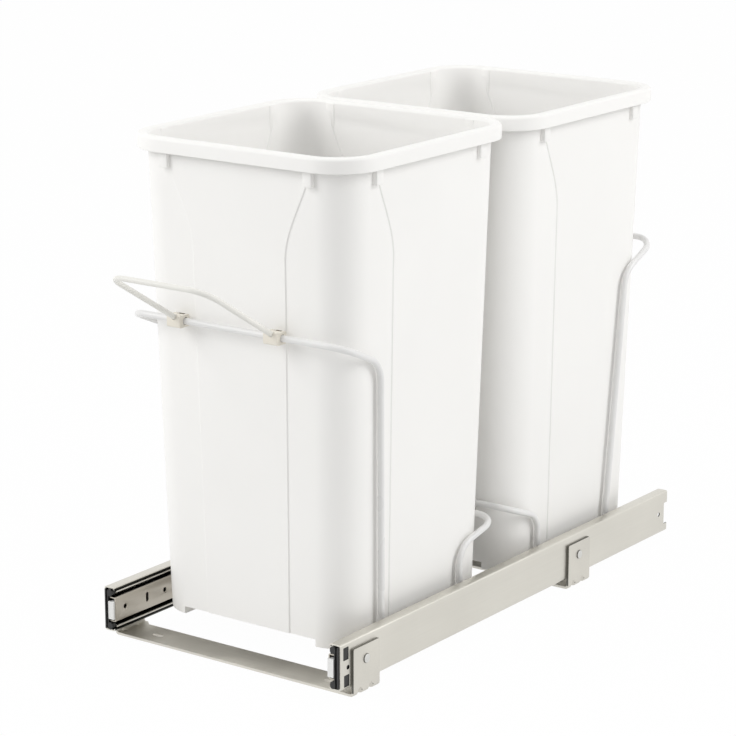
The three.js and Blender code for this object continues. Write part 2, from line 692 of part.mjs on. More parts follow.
for (const side of Object.keys(sides)) {
  add(`outer_member_${side}`, "zinc", onSide(side, outerMember()));
  add(`intermediate_member_${side}`, "zinc", onSide(side, intermediateMember()));
  add(`inner_member_${side}`, "zinc", onSide(side, innerMember()));
  add(`outer_ball_cage_${side}`, "ball", onSide(side, ballCage(outerCage)));
  add(`inner_ball_cage_${side}`, "ball", onSide(side, ballCage(innerCage)));
  add(`front_stop_${side}`, "blackPlastic", onSide(side, frontStop()));
  add(`intermediate_bumper_${side}`, "blackPlastic", onSide(side, intermediateBumper()));
  add(`end_piece_${side}`, "whitePlastic", onSide(side, endPiece()));
  tabCentres.forEach((y, i) => {
    const place = ["front", "rear"][i];
    add(`mounting_tab_${place}_${side}`, "zinc", onSide(side, mountingTab(y)));
  });
  tabScrewsY().forEach((y, i) => {
    add(`tab_screw_${i + 1}_${side}`, "zinc", onSide(side, tabScrew(y)));
  });
}

add("front_wire_frame", "coatedWire", wireFrame(frontLoop));
add("rear_wire_frame", "coatedWire", wireFrame(rearLoop));
binCentresY.forEach((y, i) => {
  const place = ["front", "rear"][i];
  add(`cross_rod_${place}_a`, "coatedWire", crossRod(y - rodInset));
  add(`cross_rod_${place}_b`, "coatedWire", crossRod(y + rodInset));
});

add("handle_loop", "ivoryWire", handleLoop());
handleX.forEach((x, i) => {
  add(`handle_clip_${Object.keys(sides)[i]}`, "beigePlastic", handleClip(x));
});

binCentresY.forEach((y, i) => {
  add(`${["front", "rear"][i]}_bin`, "whitePlastic", bin(y));
});

export default unit;
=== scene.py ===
# %% [markdown]
# # A pull-out waste unit, dressed in Blender
# The object is a fitting for a narrow kitchen base cabinet: two open plastic bins stand in white
# wire frames, the frames ride on full-extension ball-bearing slides, and the slides stand on two
# cross plates of plated steel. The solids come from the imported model, which is a fixed frame:
# this lesson gives them their finishes and makes the finer, rounder versions of the moulded,
# bent and rolled pieces. Sizes are in millimetres unless they say otherwise, and become metres
# by MM. The camera, the floor and the lamps are placed in metres.

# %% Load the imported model
import json
import math

import bmesh
import bpy
from mathutils import Matrix, Vector


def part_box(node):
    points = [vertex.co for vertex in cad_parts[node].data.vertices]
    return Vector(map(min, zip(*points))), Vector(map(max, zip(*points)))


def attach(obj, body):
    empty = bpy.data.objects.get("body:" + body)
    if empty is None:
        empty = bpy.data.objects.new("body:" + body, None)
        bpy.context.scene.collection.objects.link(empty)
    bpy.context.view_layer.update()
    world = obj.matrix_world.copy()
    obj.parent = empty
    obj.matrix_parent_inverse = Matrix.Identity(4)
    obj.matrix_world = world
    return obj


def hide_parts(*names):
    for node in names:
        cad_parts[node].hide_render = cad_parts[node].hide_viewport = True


MM = 0.001
FRONT_PLATE_Y = 32.9  # from the slides' front end back to the frame's origin


def at_mm(x, y, z):
    """A place given in millimetres, with y from the slides' front end."""
    return (x * MM, (y - FRONT_PLATE_Y) * MM, z * MM)


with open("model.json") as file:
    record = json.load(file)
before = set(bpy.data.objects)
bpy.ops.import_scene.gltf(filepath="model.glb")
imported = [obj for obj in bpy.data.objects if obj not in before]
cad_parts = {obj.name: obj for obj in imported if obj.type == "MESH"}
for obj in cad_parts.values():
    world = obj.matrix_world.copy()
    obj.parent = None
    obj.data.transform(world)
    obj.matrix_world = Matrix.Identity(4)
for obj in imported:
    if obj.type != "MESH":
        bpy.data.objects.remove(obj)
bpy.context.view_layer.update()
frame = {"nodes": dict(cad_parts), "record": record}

# %% [markdown]
# ## The camera
# The photograph was taken from the front right, a little above the bins, with a long lens. Its
# place was worked out from the vanishing lines of the slides and the bins, so the render can be
# laid over the photograph. A long lens and a far camera keep the sides nearly parallel.

# %% Camera
CAMERA_PLACE = (1.4581, -1.8162, 0.8786)
CAMERA_PITCH, CAMERA_YAW = -14.633, 35.979  # degrees
LENS, SENSOR_WIDTH = 134.36, 36  # millimetres

camera_data = bpy.data.cameras.new("camera")
camera_data.lens = LENS
camera_data.sensor_width = SENSOR_WIDTH
camera_data.clip_end = 50
camera = bpy.data.objects.new("camera", camera_data)
bpy.context.scene.collection.objects.link(camera)
camera.location = CAMERA_PLACE
camera.rotation_euler = (math.radians(90 + CAMERA_PITCH), 0, math.radians(CAMERA_YAW))
bpy.context.scene.camera = camera
print("camera at", tuple(round(c, 3) for c in camera.location))

# %% [markdown]
# ## Floor and light
# The photograph is a catalogue picture: pure white behind, two broad soft lights high at the
# sides and little from the camera's own direction, so that the bins' rounded front corners turn
# a shade darker than their flat sides and light falls over the rims onto the inside walls. The
# floor and the world look white to the camera, and to metal and glass, and light the object only
# at a plain level.


# %% Helper: nodes and links in short words
def new_material(name):
    material = bpy.data.materials.new(name)
    material.use_nodes = True
    return material, material.node_tree.nodes, material.node_tree.links


def seen_directly(nodes, links):
    """1 for a ray that comes from the camera, a mirror-like surface or a clear one."""
    path = nodes.new("ShaderNodeLightPath")
    first = nodes.new("ShaderNodeMath")
    first.operation = "MAXIMUM"
    links.new(path.outputs["Is Camera Ray"], first.inputs[0])
    links.new(path.outputs["Is Glossy Ray"], first.inputs[1])
    both = nodes.new("ShaderNodeMath")
    both.operation = "MAXIMUM"
    links.new(first.outputs[0], both.inputs[0])
    links.new(path.outputs["Is Transmission Ray"], both.inputs[1])
    return both.outputs[0]


# %% World, floor and lamps
WORLD_LIGHT = 0.65  # strength of the even light from all round
FLOOR_WHITE = 0.985  # share of plain white in the floor that the camera sees
FLOOR_SIZE, FLOOR_DROP = 40, 0.0002  # the floor lies a hair under the object
FLOOR_TONE, FLOOR_ROUGHNESS = 0.8, 0.9
LAMPS = (  # name, place, target, size and power
    ("left softbox", (-1.5, -1.65, 1.7), (0, 0.1, 0.2), (1.2, 1.8), 33.5),
    ("right softbox", (2.3, 1.0, 1.7), (0, 0.3, 0.2), (1.4, 1.8), 33),
    ("top softbox", (0, 0.4, 2.4), (0, 0.25, 0), (1.6, 1.6), 5),
)

world = bpy.data.worlds.new("studio")
bpy.context.scene.world = world
world.use_nodes = True
sky_nodes, sky_links = world.node_tree.nodes, world.node_tree.links
sky_nodes.clear()
even = sky_nodes.new("ShaderNodeBackground")
even.inputs["Strength"].default_value = WORLD_LIGHT
white = sky_nodes.new("ShaderNodeBackground")
white.inputs["Color"].default_value = (1, 1, 1, 1)
sky_mix = sky_nodes.new("ShaderNodeMixShader")
sky_links.new(seen_directly(sky_nodes, sky_links), sky_mix.inputs[0])
sky_links.new(even.outputs[0], sky_mix.inputs[1])
sky_links.new(white.outputs[0], sky_mix.inputs[2])
sky_out = sky_nodes.new("ShaderNodeOutputWorld")
sky_links.new(sky_mix.outputs[0], sky_out.inputs["Surface"])

bpy.ops.mesh.primitive_plane_add(size=FLOOR_SIZE, location=(0, 0, -FLOOR_DROP))
floor = bpy.context.object
floor.name = "floor"
paper, nodes, links = new_material("white paper floor")
matte = nodes["Principled BSDF"]
matte.inputs["Base Color"].default_value = (FLOOR_TONE, FLOOR_TONE, FLOOR_TONE, 1)
matte.inputs["Roughness"].default_value = FLOOR_ROUGHNESS
glow = nodes.new("ShaderNodeEmission")
glow.inputs["Color"].default_value = (1, 1, 1, 1)
share = nodes.new("ShaderNodeMath")
share.operation = "MULTIPLY"
share.inputs[1].default_value = FLOOR_WHITE
links.new(seen_directly(nodes, links), share.inputs[0])
mix = nodes.new("ShaderNodeMixShader")
links.new(share.outputs[0], mix.inputs[0])
links.new(matte.outputs[0], mix.inputs[1])
links.new(glow.outputs[0], mix.inputs[2])
links.new(mix.outputs[0], nodes["Material Output"].inputs["Surface"])
floor.data.materials.append(paper)


def soft_lamp(name, place, target, size, power):
    data = bpy.data.lights.new(name, "AREA")
    data.shape = "RECTANGLE"
    data.size, data.size_y = size
    data.energy = power
    lamp = bpy.data.objects.new(name, data)
    bpy.context.scene.collection.objects.link(lamp)
    lamp.location = place
    aim = Vector(target) - Vector(place)
    lamp.rotation_euler = aim.to_track_quat("-Z", "Y").to_euler()


for lamp_row in LAMPS:
    soft_lamp(*lamp_row)
bpy.context.scene.view_settings.view_transform = "Standard"
print("floor, world and lamps made")

# %% [markdown]
# ## Shared surface effects
# Two effects are used by more than one finish, so each is a node group built once. Rolled strip
# steel has fine streaks along the direction it was rolled in, over a broad uneven sheen: along Y
# in the slides and along X, where Across is 1, in the cross plates. Moulded and powder-coated
# surfaces have a fine satin unevenness and a faint broad variation of tone.


# %% Node groups
STREAK_SCALE, SHEEN_SCALE = 700, 14
ALONG_Y, ALONG_X = (1, 0.02, 1), (0.02, 1, 1)  # how the noise is stretched into streaks
STREAK_SHARE = 0.25  # of the tone; the sheen has the rest
FINE_SCALE, BROAD_SCALE = 1400, 9


def group_with(name, inputs, outputs):
    group = bpy.data.node_groups.new(name, "ShaderNodeTree")
    for label, value in inputs.items():
        socket = group.interface.new_socket(label, in_out="INPUT", socket_type="NodeSocketFloat")
        socket.default_value = value
    for label in outputs:
        group.interface.new_socket(label, in_out="OUTPUT", socket_type="NodeSocketFloat")
    source = group.nodes.new("NodeGroupInput")
    sink = group.nodes.new("NodeGroupOutput")
    return group, source, sink


def noise_on_object(group, scale, detail, stretch=(1, 1, 1)):
    place = group.nodes.new("ShaderNodeTexCoord")
    mapping = group.nodes.new("ShaderNodeMapping")
    mapping.inputs["Scale"].default_value = stretch
    noise = group.nodes.new("ShaderNodeTexNoise")
    noise.inputs["Scale"].default_value = scale
    noise.inputs["Detail"].default_value = detail
    group.links.new(place.outputs["Object"], mapping.inputs["Vector"])
    group.links.new(mapping.outputs["Vector"], noise.inputs["Vector"])
    return noise.outputs["Fac"]


def ranged(group, value, low, high):
    """Maps 0.3..0.7, the useful part of a noise, to low..high."""
    scale = group.nodes.new("ShaderNodeMapRange")
    scale.inputs["From Min"].default_value = 0.3
    scale.inputs["From Max"].default_value = 0.7
    group.links.new(value, scale.inputs["Value"])
    for label, end in (("To Min", low), ("To Max", high)):
        if isinstance(end, (int, float)):
            scale.inputs[label].default_value = end
        else:
            group.links.new(end, scale.inputs[label])
    return scale.outputs["Result"]


def mixed(group, share, first, second):
    mix = group.nodes.new("ShaderNodeMix")
    for label, value in (("Factor", share), ("A", first), ("B", second)):
        if isinstance(value, (int, float)):
            mix.inputs[label].default_value = value
        else:
            group.links.new(value, mix.inputs[label])
    return mix.outputs["Result"]


def rolled_steel_group():
    group, source, sink = group_with(
        "rolled steel", {"Low": 0.25, "High": 0.45, "Across": 0}, ("Roughness", "Height", "Tone"))
    streaks = mixed(group, source.outputs["Across"],
                    noise_on_object(group, STREAK_SCALE, 2, ALONG_Y),
                    noise_on_object(group, STREAK_SCALE, 2, ALONG_X))
    sheen = noise_on_object(group, SHEEN_SCALE, 3)
    group.links.new(
        ranged(group, sheen, source.outputs["Low"], source.outputs["High"]),
        sink.inputs["Roughness"])
    group.links.new(ranged(group, streaks, 0, 1), sink.inputs["Height"])
    group.links.new(
        ranged(group, mixed(group, STREAK_SHARE, sheen, streaks), 0, 1), sink.inputs["Tone"])
    return group


def satin_group():
    group, source, sink = group_with(
        "satin surface", {"Low": 0.35, "High": 0.5}, ("Roughness", "Height", "Tone"))
    fine = noise_on_object(group, FINE_SCALE, 2)
    broad = noise_on_object(group, BROAD_SCALE, 2)
    group.links.new(
        ranged(group, broad, source.outputs["Low"], source.outputs["High"]),
        sink.inputs["Roughness"])
    group.links.new(ranged(group, fine, 0, 1), sink.inputs["Height"])
    group.links.new(ranged(group, broad, 0, 1), sink.inputs["Tone"])
    return group


ROLLED = rolled_steel_group()
SATIN = satin_group()
print("node groups:", ROLLED.name, "and", SATIN.name)


# %% [markdown]
# ## Finishes
# Every finish is a Principled BSDF with the shared effect feeding its colour, roughness and
# bump. The plated strip keeps a faint warm cast; its raceways, the outer member's lips and its
# holes are painted near black, grease together with painted shade, while the flat webs between
# them stay clean. The uprights' cut edges, the foot of the rivet heads and the clips' slots
# carry painted shade. The plastics and the coats differ in tone: the bins are a warm white,
# with painted light making their inside a shade lighter, the wire a cooler and greyer white,
# the handle ivory and its clips beige.

# %% Finishes
BUMP_DISTANCE = 0.1 * MM


def finish(name, group, dark, light, rough, bump, metal=0.0, across=0, specular=None):
    """A material whose tone runs from dark to light with the group's broad variation."""
    material, nodes, links = new_material(name)
    shader = nodes["Principled BSDF"]
    shader.inputs["Metallic"].default_value = metal
    effect = nodes.new("ShaderNodeGroup")
    effect.node_tree = group
    effect.inputs["Low"].default_value, effect.inputs["High"].default_value = rough
    if across:
        effect.inputs["Across"].default_value = across
    blend = nodes.new("ShaderNodeMix")
    blend.data_type = "RGBA"
    blend.inputs["A"].default_value = (*dark, 1)
    blend.inputs["B"].default_value = (*light, 1)
    links.new(effect.outputs["Tone"], blend.inputs["Factor"])
    links.new(blend.outputs["Result"], shader.inputs["Base Color"])
    links.new(effect.outputs["Roughness"], shader.inputs["Roughness"])
    relief = nodes.new("ShaderNodeBump")
    relief.inputs["Strength"].default_value = bump
    relief.inputs["Distance"].default_value = BUMP_DISTANCE
    links.new(effect.outputs["Height"], relief.inputs["Height"])
    links.new(relief.outputs["Normal"], shader.inputs["Normal"])
    if specular is not None:
        shader.inputs["Specular IOR Level"].default_value = specular
    return material


FINISHES = {
    "slide_steel": finish("plated strip steel", ROLLED, (0.65, 0.63, 0.57), (0.71, 0.69, 0.63),
                          (0.3, 0.42), 0.12, metal=1.0),
    "rivet_steel": finish("plated rivets and screws", ROLLED, (0.60, 0.595, 0.57),
                          (0.70, 0.695, 0.67), (0.22, 0.34), 0.15, metal=1.0),
    # The ball cages are written dark.
    "cage_steel": finish("dark ball cages", ROLLED, (0.10, 0.097, 0.09), (0.2, 0.195, 0.185),
                         (0.25, 0.4), 0.2, metal=1.0),
    "black_plastic": finish("black stop plastic", SATIN, (0.012, 0.012, 0.012),
                            (0.022, 0.022, 0.022), (0.4, 0.5), 0.2),
    "white_plastic": finish("white end piece plastic", SATIN, (0.80, 0.80, 0.785),
                            (0.85, 0.85, 0.835), (0.35, 0.45), 0.1),
    "wire_coating": finish("white coated wire", SATIN, (0.79, 0.785, 0.775),
                           (0.83, 0.825, 0.815), (0.25, 0.38), 0.1),
    "handle_coating": finish("ivory coated wire", SATIN, (0.80, 0.79, 0.745),
                             (0.84, 0.83, 0.785), (0.3, 0.42), 0.1, specular=0.35),
    "clip_plastic": finish("beige clip plastic", SATIN, (0.80, 0.755, 0.66),
                           (0.85, 0.805, 0.71), (0.35, 0.45), 0.15),
    "bin_plastic": finish("warm white bin plastic", SATIN, (0.935, 0.927, 0.905),
                          (0.95, 0.942, 0.92), (0.38, 0.5), 0.12, specular=0.3),
}
PLATE_STEEL = finish("plated plate steel", ROLLED, (0.60, 0.58, 0.53), (0.70, 0.68, 0.625),
                     (0.45, 0.62), 0.5, metal=1.0, across=1)
INNER_STEEL = finish("handled strip steel", ROLLED, (0.52, 0.485, 0.425), (0.58, 0.545, 0.48),
                     (0.48, 0.6), 0.2, metal=1.0)
# Painted shade with grease: near black in the slides' raceways, lips and holes, the deep gaps
# where shade falls.
PAINTED_SHADE_AND_GREASE = finish("painted shade and grease in slides", ROLLED, (0.018, 0.018, 0.016), (0.04, 0.04, 0.036),
                 (0.3, 0.45), 0.2, metal=1.0)
# Painted shade on the uprights' cut edges and round the foot of the rivet heads.
PAINTED_EDGE_SHADE = finish("painted shade on edges", ROLLED, (0.10, 0.10, 0.09), (0.17, 0.165, 0.15),
                   (0.4, 0.55), 0.3, metal=1.0)
# Painted shade in the clips' slots, where light does not reach.
CLIP_SLOT_SHADE = finish("painted shade in clip slots", SATIN, (0.17, 0.14, 0.10), (0.22, 0.18, 0.135), (0.5, 0.6), 0.1)
# The moulding lets a little light through its walls; that light is painted in, as an inside
# written a shade lighter.
BIN_INSIDE_PAINTED_LIGHT = finish("bin plastic with painted light, inside", SATIN, (0.972, 0.964, 0.944),
                    (0.982, 0.974, 0.954), (0.38, 0.5), 0.12, specular=0.3)

slot_of = {part["node"]: part["material_slot"] for part in frame["record"]["subparts"]}
for name, node in frame["nodes"].items():
    node.data.materials.clear()
    node.data.materials.append(FINISHES[slot_of[name]])
print(len(FINISHES), "finishes on", len(slot_of), "nodes")


# %% [markdown]
# ## From a mesh in the making to a finished piece
# Every new piece ends the same way: its mesh is cleaned, it gets its finish, it is smooth except
# across real edges, and it rides on the body of the node that it stands for. Where some of its
# faces have another finish, they are picked by where they are and the way they face.

# %% Helper: finish a piece
WELD = 0.002 * MM  # closer vertices are one


def smooth(mesh, degrees):
    """Smooth shading, but sharp where faces meet at more than this angle."""
    mesh.shade_smooth()
    mesh.set_sharp_from_angle(angle=math.radians(degrees))


def body_of_node(node):
    for body, members in frame["record"]["behaviour"]["bodies"].items():
        if node in members:
            return body
    raise ValueError(node)


def make_piece(bm, name, *nodes, sharp=35):
    bmesh.ops.remove_doubles(bm, verts=bm.verts, dist=WELD)
    bmesh.ops.recalc_face_normals(bm, faces=bm.faces)
    mesh = bpy.data.meshes.new(name)
    bm.to_mesh(mesh)
    bm.free()
    smooth(mesh, sharp)
    piece = bpy.data.objects.new(name, mesh)
    bpy.context.scene.collection.objects.link(piece)
    mesh.materials.append(FINISHES[slot_of[nodes[0]]])
    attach(piece, body_of_node(nodes[0]))
    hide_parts(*nodes)
    return piece


def cut_away(piece, bm):
    """Cuts the closed form in bm out of the piece, below the piece's other modifiers."""
    mesh = bpy.data.meshes.new("cutter")
    bm.to_mesh(mesh)
    bm.free()
    cutter = bpy.data.objects.new("cutter", mesh)
    bpy.context.scene.collection.objects.link(cutter)
    cut = piece.modifiers.new("cut", "BOOLEAN")
    cut.object = cutter
    cut.operation = "DIFFERENCE"
    cut.solver = "EXACT"
    piece.modifiers.move(len(piece.modifiers) - 1, 0)
    bpy.context.view_layer.objects.active = piece
    bpy.ops.object.modifier_apply(modifier=cut.name)
    bpy.data.objects.remove(cutter)


def paint(piece, material, chosen):
    """chosen is asked about each face's middle, in millimetres, and its normal."""
    piece.data.materials.append(material)
    for face in piece.data.polygons:
        if chosen(face.center / MM, face.normal):
            face.material_index = len(piece.data.materials) - 1


# %% [markdown]
# ## Rolled and pressed steel
# The slides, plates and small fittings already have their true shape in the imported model, but
# their bends are a few flat facets. A copy of each is merged, its flat faces are joined, and its
# edges get a tiny bevel, as a sheared or pressed edge has. Smooth shading then rounds the bends.
# The darts that stiffen the cross plates' bends are pressed to their full depth with a round
# tool that lies at 45 degrees across the bend.


# %% Refine the steel and small moulded pieces
SOLID_WELD = 0.005 * MM
FLAT_ANGLE, CREASE_ANGLE, BEVEL_ANGLE = 1, 50, 60  # degrees


def refined(node, edge):
    bm = bmesh.new()
    bm.from_mesh(frame["nodes"][node].data)
    bmesh.ops.remove_doubles(bm, verts=bm.verts, dist=SOLID_WELD)
    bmesh.ops.dissolve_limit(
        bm, angle_limit=math.radians(FLAT_ANGLE), verts=bm.verts, edges=bm.edges)
    piece = make_piece(bm, "fine_" + node, node, sharp=CREASE_ANGLE)
    soft = piece.modifiers.new("edges", "BEVEL")
    soft.width = edge
    soft.segments = 2
    soft.limit_method = "ANGLE"
    soft.angle_limit = math.radians(BEVEL_ANGLE)
    soft.harden_normals = True
    return piece


# %% Helper: the darts and the edge of a cross plate
DART_PLACES = (9.6, 25.9)  # from the plate's front edge
DART_RADIUS = 3.8
DART_TOOL = 24  # length of the round tool
DART_IN = 0.75  # the tool's middle, in from the bend's outside corner and up from it
DART_CREASE = 30  # degrees
PLATE_BACK_X = 136.3  # outside of the uprights


def press_darts(piece, node):
    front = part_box(node)[0].y / MM
    for side in (-1, 1):
        for along in DART_PLACES:
            tool = bmesh.new()
            at = Vector((side * (PLATE_BACK_X - DART_IN), front + along, DART_IN)) * MM
            bmesh.ops.create_cone(
                tool, cap_ends=True, segments=40, radius1=DART_RADIUS * MM,
                radius2=DART_RADIUS * MM, depth=DART_TOOL * MM,
                matrix=Matrix.Translation(at) @ Matrix.Rotation(side * math.pi / 4, 4, "Y"))
            cut_away(piece, tool)
    smooth(piece.data, DART_CREASE)


def split_level(piece, height):
    """New edges at this height, so that faces above and below it can differ."""
    bm = bmesh.new()
    bm.from_mesh(piece.data)
    bmesh.ops.bisect_plane(
        bm, geom=bm.verts[:] + bm.edges[:] + bm.faces[:], plane_co=(0, 0, height * MM),
        plane_no=(0, 0, 1))
    bm.to_mesh(piece.data)
    bm.free()


# %% Which faces have another finish
RACE_X = (122.9, 132.9)  # from the members' lips to the outer member's back
RACE_Z = (10.9, 51.1)  # inside the outer member's flanges
LIP_X = 123
SLIDE_MIDDLE_Z = 31  # half way up the slides
WEB_HALF = 11.4  # the clean flat of a web, up and down from there
INTERMEDIATE_BACK_X = (130.3, 132)  # round the intermediate member's outer face
OUTER_BACK_X = (132.8, 134)  # through the outer member's back
HOLE_Z, HOLE_Y = (11.5, 50.5), (-32.5, 525.8)  # clear of the back's own edges
DOME_X = (136.3, 137.4)  # foot of the rivets' heads
UPRIGHT_FROM_Z = 3.5  # over the plates' flat part
CLIP_SLOT_Y, CLIP_SLOT_Z = (-5.1, -1.9), 305.9


def between(value, ends):
    return ends[0] < value < ends[1]


def on_clean_web(middle, normal):
    """The flat between the raceways, and the whole outer face of the intermediate member."""
    outer_face = normal.x * middle.x > 0 and between(abs(middle.x), INTERMEDIATE_BACK_X)
    return abs(normal.x) > 0.9 and (
        outer_face or abs(middle.z - SLIDE_MIDDLE_Z) < WEB_HALF)


def in_raceway(middle, normal):
    return (between(abs(middle.x), RACE_X) and between(middle.z, RACE_Z)
            and abs(normal.y) < 0.5 and not on_clean_web(middle, normal))


def on_lip_or_hole(middle, normal):
    lip = abs(middle.x) < LIP_X and between(middle.z, RACE_Z) and abs(normal.y) < 0.5
    hole = (between(abs(middle.x), OUTER_BACK_X) and abs(normal.x) < 0.3
            and between(middle.z, HOLE_Z) and between(middle.y, HOLE_Y))
    return lip or hole


def under_rivet_dome(middle, normal):
    return between(abs(middle.x), DOME_X)


def on_upright_edge(middle, normal):
    return middle.z > UPRIGHT_FROM_Z and (abs(normal.y) > 0.8 or normal.z > 0.8)


def in_clip_slot(middle, normal):
    return (between(middle.y, CLIP_SLOT_Y) and middle.z > CLIP_SLOT_Z
            and abs(normal.x) < 0.5)


# %% The pieces themselves
EDGE_OF_SLOT = {  # width of the bevel on a sheared or a moulded edge
    "slide_steel": 0.12 * MM, "rivet_steel": 0.12 * MM,
    "black_plastic": 0.3 * MM, "white_plastic": 0.3 * MM, "clip_plastic": 0.3 * MM,
}
PLATE_SPLIT_Z = 3.4  # parts the uprights' edges from the flat part's

for node, slot in slot_of.items():
    if slot not in EDGE_OF_SLOT:
        continue
    piece = refined(node, EDGE_OF_SLOT[slot])
    if "_member_" in node:
        if node.startswith("inner"):
            piece.data.materials[0] = INNER_STEEL
        else:
            split_level(piece, SLIDE_MIDDLE_Z - WEB_HALF)
            split_level(piece, SLIDE_MIDDLE_Z + WEB_HALF)
        # painted shade, with grease, in the raceways
        paint(piece, PAINTED_SHADE_AND_GREASE, in_raceway)
    if node.startswith("outer_member"):
        # painted shade on the outer member's lips and in its holes
        paint(piece, PAINTED_SHADE_AND_GREASE, on_lip_or_hole)
    if node.startswith("rivet"):
        # painted shade round the foot of the rivet heads
        paint(piece, PAINTED_EDGE_SHADE, under_rivet_dome)
    if node.startswith("cross_plate"):
        piece.data.materials[0] = PLATE_STEEL
        press_darts(piece, node)
        split_level(piece, PLATE_SPLIT_Z)
        # painted shade on the uprights' cut edges
        paint(piece, PAINTED_EDGE_SHADE, on_upright_edge)
    if slot == "clip_plastic":
        # painted shade in the clips' slots
        paint(piece, CLIP_SLOT_SHADE, in_clip_slot)
print("steel and small moulded pieces refined")

# %% [markdown]
# ## Bent wire
# A bent wire is straight between its bends and a true arc in each. So a circle of vertices is
# extruded along each straight run and spun round each bend's centre, as the bending machine
# does it, and the last ring meets the first where the wire is welded into a loop.


# %% Helper: bend a wire
def bend_wire(corners, radius, steps, sides, closed):
    """corners: (point, bend radius); the ends of an open wire have radius 0."""
    points = [Vector(p) for p, _ in corners]
    count = len(points)
    start = (points[0] + points[-1]) / 2 if closed else points[0]
    first_way = (points[0] - start) if closed else (points[1] - points[0])
    bm = bmesh.new()
    turn = first_way.to_track_quat("Z", "Y").to_matrix().to_4x4()
    bmesh.ops.create_circle(
        bm, radius=radius, segments=sides, cap_ends=not closed,
        matrix=Matrix.Translation(start) @ turn)
    ring = list(bm.edges)
    here = start

    def run_to(place):
        nonlocal ring, here
        grown = bmesh.ops.extrude_edge_only(bm, edges=ring)["geom"]
        verts = [v for v in grown if isinstance(v, bmesh.types.BMVert)]
        bmesh.ops.translate(bm, verts=verts, vec=place - here)
        ring = [e for e in grown if isinstance(e, bmesh.types.BMEdge)
                and all(v in verts for v in e.verts)]
        here = place

    for i in range(0 if closed else 1, count if closed else count - 1):
        at, bend = points[i], corners[i][1]
        back = ((start if closed and i == 0 else points[i - 1]) - at).normalized()
        ahead = ((start if closed and i == count - 1 else points[(i + 1) % count]) - at)
        ahead.normalize()
        half = back.angle(ahead) / 2
        run_to(at + back * bend / math.tan(half))
        centre = at + (back + ahead).normalized() * bend / math.sin(half)
        spun = bmesh.ops.spin(
            bm, geom=ring, cent=centre, axis=back.cross(ahead), angle=-(math.pi - 2 * half),
            steps=steps, use_merge=False)
        last = set(spun["geom_last"])
        ring = [e for e in last if isinstance(e, bmesh.types.BMEdge)]
        here = at + ahead * bend / math.tan(half)
    run_to(start if closed else points[-1])
    if not closed:
        bmesh.ops.contextual_create(bm, geom=ring)
    return bm


# %% [markdown]
# ## The two wire frames
# Each frame is one loop: the high hoop at the unit's outer end, its legs down to the rails beside
# the slides, and the low hoop between the bins. The corners and their bend radii are those of
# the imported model, in millimetres from the slides' front end.

# %% Wire frames
WIRE = 3.0  # radius
WIRE_SIDES = 24
FRAME_BEND_STEPS = 10
RAIL_X, RAIL_Z = 112.9, 23.2
FRONT_LOOP = [
    (120.5, 26.5, 307, 20), (118.5, 80.8, 283.7, 26), (RAIL_X, 89.6, RAIL_Z, 12),
    (RAIL_X, 213, RAIL_Z, 12), (113.6, 212, 80, 22), (114.6, 271.8, 93.5, 20),
]
REAR_LOOP = [
    (114.6, 299.6, 93.5, 20), (113.6, 345.5, 76, 22), (RAIL_X, 346, RAIL_Z, 12),
    (RAIL_X, 469.4, RAIL_Z, 12), (118.5, 491, 290, 26), (119.6, 544, 314, 20),
]


def wire_frame(name, half_loop, node):
    right = [(at_mm(x, y, z), bend * MM) for x, y, z, bend in half_loop]
    left = [(at_mm(-x, y, z), bend * MM) for x, y, z, bend in reversed(half_loop)]
    bm = bend_wire(right + left, WIRE * MM, FRAME_BEND_STEPS, WIRE_SIDES, True)
    make_piece(bm, name, node)


wire_frame("front_frame_wire", FRONT_LOOP, "front_wire_frame")
wire_frame("rear_frame_wire", REAR_LOOP, "rear_wire_frame")
for node in [n for n in slot_of if n.startswith("cross_rod")]:
    low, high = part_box(node)
    middle = (low + high) / 2
    rod = bend_wire(
        [((low.x, middle.y, middle.z), 0), ((high.x, middle.y, middle.z), 0)],
        WIRE * MM, 1, WIRE_SIDES, False)
    make_piece(rod, "fine_" + node, node)
print("wire frames and cross rods bent")

# %% [markdown]
# ## The handle
# The handle is a lighter wire bent into a U. Its two ends are held in the clips, which turn on
# the front frame's crossing wire.

# %% Handle
HANDLE_LEFT, HANDLE_RIGHT = -62, 46
HANDLE_WIRE = 2.5  # radius
HANDLE_ROOT, HANDLE_REACH = 5.2, 110  # from the crossing wire's middle, along the handle
HANDLE_BEND, HANDLE_BEND_STEPS = 20, 12
HANDLE_RISE = math.radians(31.2)
CROSSING_Y, CROSSING_Z = FRONT_LOOP[0][1], FRONT_LOOP[0][2]


def on_handle(x, along):
    return at_mm(x, CROSSING_Y - along * math.cos(HANDLE_RISE),
                 CROSSING_Z + along * math.sin(HANDLE_RISE))


handle = bend_wire(
    [(on_handle(HANDLE_RIGHT, HANDLE_ROOT), 0),
     (on_handle(HANDLE_RIGHT, HANDLE_REACH), HANDLE_BEND * MM),
     (on_handle(HANDLE_LEFT, HANDLE_REACH), HANDLE_BEND * MM),
     (on_handle(HANDLE_LEFT, HANDLE_ROOT), 0)],
    HANDLE_WIRE * MM, HANDLE_BEND_STEPS, WIRE_SIDES, False)
make_piece(handle, "handle_wire", "handle_loop")
print("handle bent")

# %% [markdown]
# ## The bins
# A bin is one moulding: a tapered box with round corners, a raised panel on each side whose edge
# flares out to the corners near the top, a rolled rim with a skirt, eight small ribs under the
# skirt, and a foot at each corner. One ring of vertices is extruded again and again along the
# moulding's section: from the base up the outside, over the rim and down the inside. Each time,
# its new vertices are set to that height's own ring.

